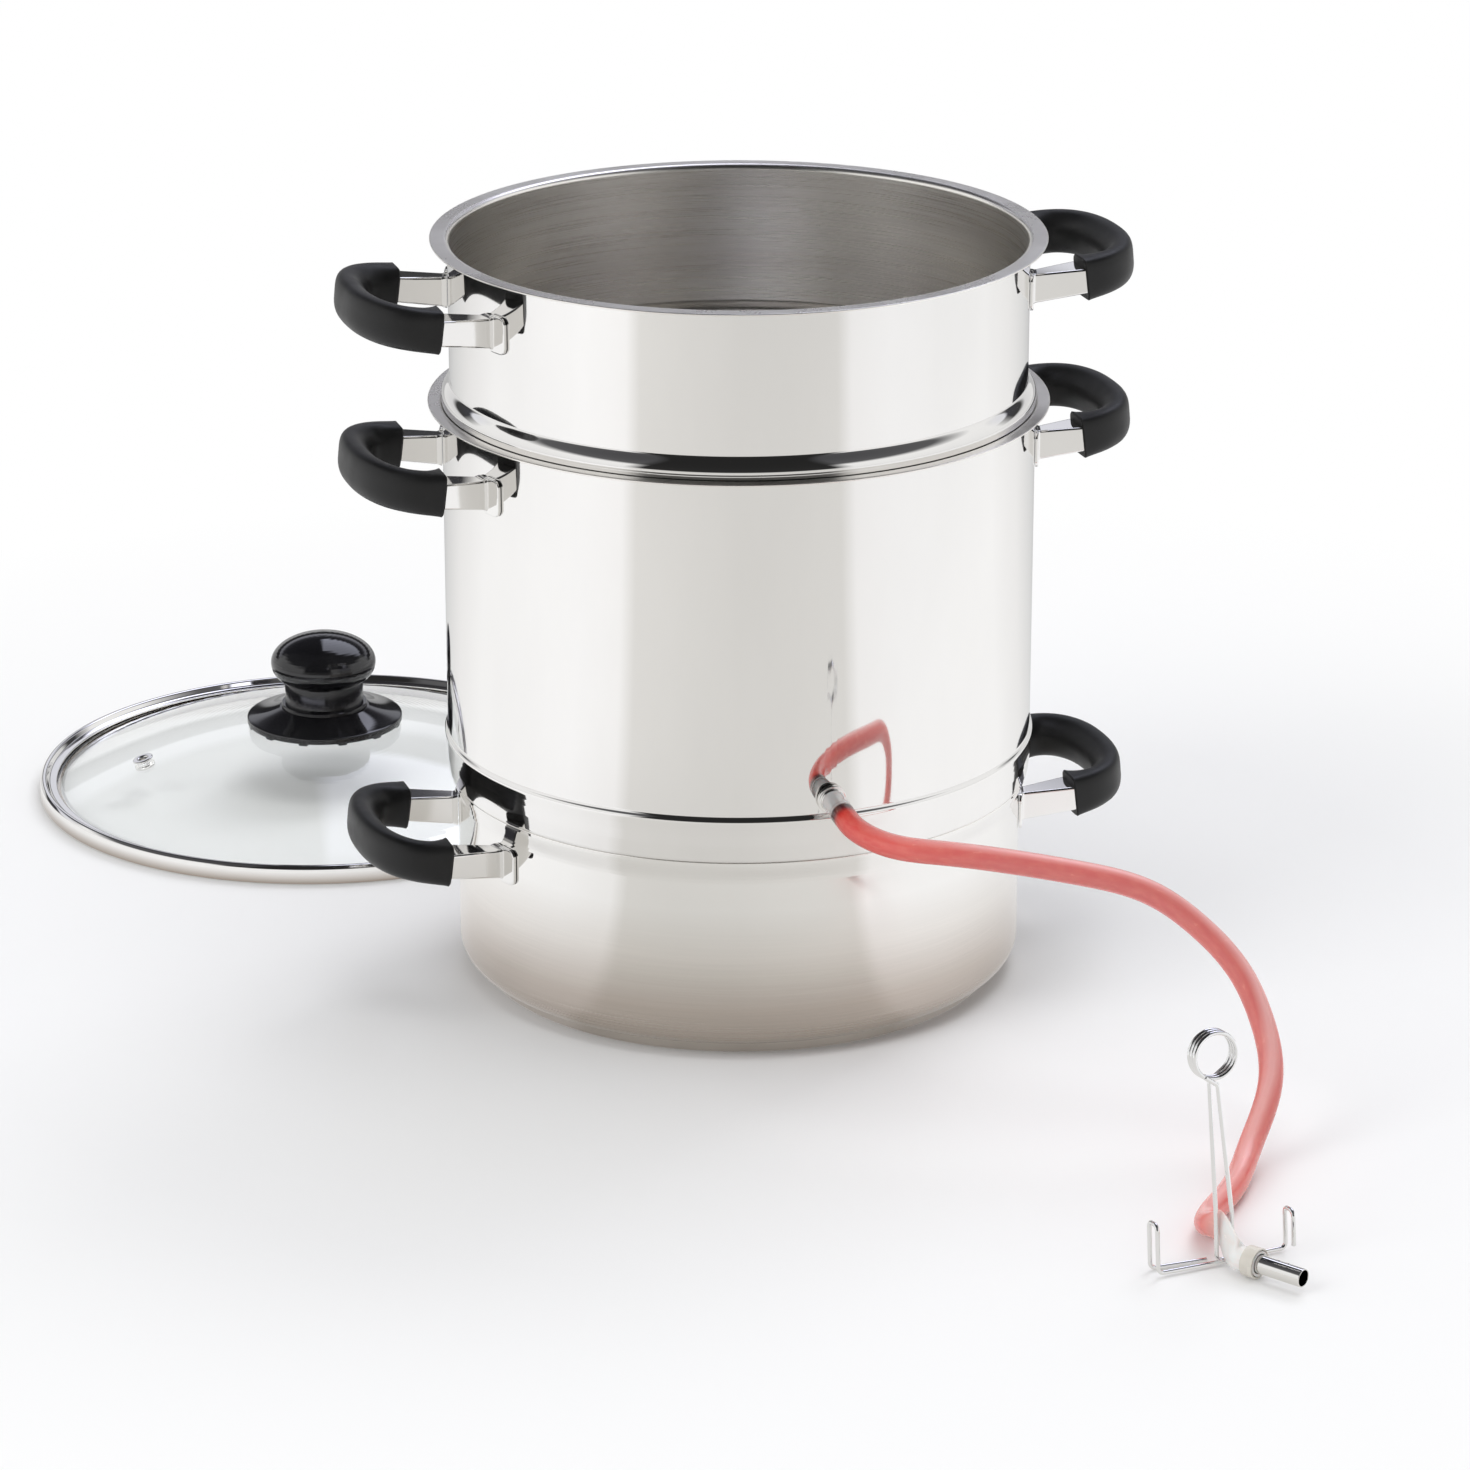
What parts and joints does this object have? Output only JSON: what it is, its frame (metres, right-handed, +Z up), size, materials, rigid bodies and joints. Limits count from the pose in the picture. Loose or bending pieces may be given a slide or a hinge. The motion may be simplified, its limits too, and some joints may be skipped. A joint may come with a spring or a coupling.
{
  "type": "steam juicer",
  "caption": "Stacked steel steam juicer: water pot, juice kettle with spout, hose and wire clamp, fruit basket, and a domed glass lid laid beside it.",
  "frame": {"origin": "centre of the underside of the water pot's base", "axes": "+Z up, -Y the way the spout points, handles on +X and -X, lid on the floor behind and to the left"},
  "size_m": [0.4596, 0.8575, 0.3483],
  "materials": {
    "polished_steel": "mirror-polished stainless steel",
    "brushed_steel": "brushed stainless steel",
    "grip_black": "soft-touch matte black",
    "knob_black": "glossy black",
    "lid_glass": "clear tempered glass",
    "washer_rubber": "soft black rubber",
    "hose_silicone": "translucent silicone, red with juice",
    "collar_clear": "clear, slightly yellow"
  },
  "bodies": {
    "water_pot": {"water_pot": "polished_steel", "water_pot_base": "brushed_steel", "water_pot_left_arm_back": "polished_steel", "water_pot_left_arm_front": "polished_steel", "water_pot_right_arm_back": "polished_steel", "water_pot_right_arm_front": "polished_steel", "water_pot_left_grip": "grip_black", "water_pot_right_grip": "grip_black"},
    "juice_kettle": {"juice_kettle": "polished_steel", "steam_chimney": "brushed_steel", "juice_spout": "polished_steel", "kettle_left_arm_back": "polished_steel", "kettle_left_arm_front": "polished_steel", "kettle_right_arm_back": "polished_steel", "kettle_right_arm_front": "polished_steel", "kettle_left_grip": "grip_black", "kettle_right_grip": "grip_black"},
    "fruit_basket": {"fruit_basket": "polished_steel", "basket_left_arm_back": "polished_steel", "basket_left_arm_front": "polished_steel", "basket_right_arm_back": "polished_steel", "basket_right_arm_front": "polished_steel", "basket_left_grip": "grip_black", "basket_right_grip": "grip_black"},
    "lid": {"lid_glass": "lid_glass", "lid_ring": "polished_steel", "lid_vent": "polished_steel", "lid_knob": "knob_black", "lid_knob_skirt": "knob_black", "lid_knob_screw": "brushed_steel", "lid_washer": "washer_rubber"},
    "hose": {"juice_hose": "hose_silicone", "hose_collar": "collar_clear", "outlet_tube": "polished_steel", "clamp_fixed_arm": "polished_steel"},
    "clamp_arm": {"clamp_swing_arm": "polished_steel"}
  },
  "joints": [
    {"name": "kettle_lift", "type": "slide", "parent": "water_pot", "child": "juice_kettle", "axis": [0, 0, 1], "range_m": [0, 0.06]},
    {"name": "basket_lift", "type": "slide", "parent": "juice_kettle", "child": "fruit_basket", "axis": [0, 0, 1], "range_m": [0, 0.12]},
    {"name": "lid_lift", "type": "slide", "parent": "water_pot", "child": "lid", "axis": [0, 0, 1], "range_m": [0, 0.36]},
    {"name": "hose_pull_off", "type": "slide", "parent": "juice_kettle", "child": "hose", "axis": [0, -0.9945, -0.1045], "range_m": [0, 0.022]},
    {"name": "clamp_squeeze", "type": "hinge", "parent": "hose", "child": "clamp_arm", "pos_m": [0.08294, -0.37857, 0.09039], "axis": [0.0934, -0.9901, 0.1045], "range_deg": [0, 5], "stiffness_Nm_per_rad": 0.8, "springref_deg": -8.59}
  ]
}
